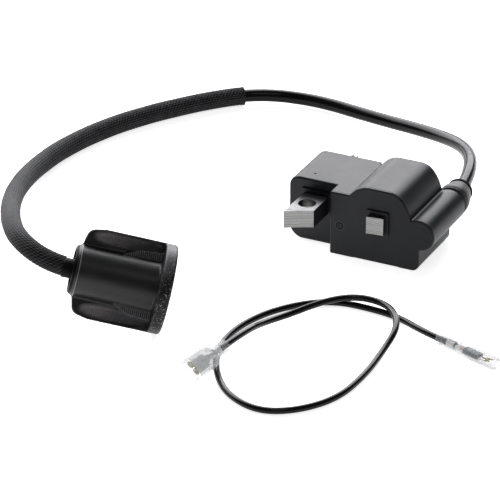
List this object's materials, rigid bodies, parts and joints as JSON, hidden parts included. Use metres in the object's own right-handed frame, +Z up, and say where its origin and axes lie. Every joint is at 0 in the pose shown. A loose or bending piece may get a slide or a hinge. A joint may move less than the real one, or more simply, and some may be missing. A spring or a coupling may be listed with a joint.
{
  "type": "ignition coil",
  "caption": "Small-engine flywheel ignition module with laminated core, spark plug lead in a braided sleeve, rubber plug boot and a loose short-circuit lead.",
  "frame": {"origin": "middle of the coil module's box in plan, on its flat underside", "axes": "+Z up out of the underside, -Y towards the flywheel along the core legs, +X towards the lead tower"},
  "size_m": [0.2173, 0.2299, 0.0362],
  "materials": {
    "housing_plastic": "satin black moulded plastic",
    "resin": "dull black potting",
    "core_steel": "cut and ground lamination stack, oxide-black faces",
    "rivet_steel": "zinc",
    "bobbin_plastic": "natural nylon",
    "enamelled_copper": "enamelled copper wire",
    "board": "green glass-epoxy",
    "capacitor_case": "dipped film capacitor",
    "component_black": "moulded epoxy",
    "tinned_brass": "tinned",
    "grommet_rubber": "matt",
    "lip_rubber": "matt",
    "lead_jacket": "smooth, low gloss",
    "braid": "woven glass sleeving",
    "kill_wire_jacket": "smooth PVC",
    "boot_rubber": "matt moulded rubber",
    "spring_steel": "bright wire",
    "terminal_tin": "tinned brass",
    "clear_sleeve": "clear soft vinyl"
  },
  "bodies": {
    "root": {"coil_housing": "housing_plastic", "potting_resin": "resin", "laminated_core": "core_steel", "core_rivets": "rivet_steel", "primary_bobbin": "bobbin_plastic", "primary_winding": "enamelled_copper", "secondary_bobbin": "bobbin_plastic", "secondary_winding": "enamelled_copper", "charge_bobbin": "bobbin_plastic", "charge_winding": "enamelled_copper", "circuit_board": "board", "discharge_capacitor": "capacitor_case", "thyristor": "component_black", "diodes": "component_black", "chip_resistors": "component_black", "earth_strap": "tinned_brass", "kill_tab": "tinned_brass", "hv_contact_spike": "tinned_brass", "hv_link": "tinned_brass", "tab_boss": "resin", "hv_grommet": "grommet_rubber", "grommet_lip": "lip_rubber", "hv_lead": "lead_jacket", "braided_sleeve": "braid", "kill_wire": "kill_wire_jacket", "boot_shell": "boot_rubber", "boot_terminal_spring": "spring_steel", "boot_contact_pin": "tinned_brass", "kill_terminal_wide": "terminal_tin", "kill_terminal_narrow": "terminal_tin"},
    "sleeve_wide": {"kill_sleeve_wide": "clear_sleeve"},
    "sleeve_narrow": {"kill_sleeve_narrow": "clear_sleeve"}
  },
  "joints": [
    {"name": "sleeve_wide_slide", "type": "slide", "parent": "root", "child": "sleeve_wide", "axis": [0.1315, 0.9913, 0], "range_m": [0, 0.006]},
    {"name": "sleeve_narrow_slide", "type": "slide", "parent": "root", "child": "sleeve_narrow", "axis": [-0.9494, 0.3141, 0], "range_m": [0, 0.006]}
  ]
}
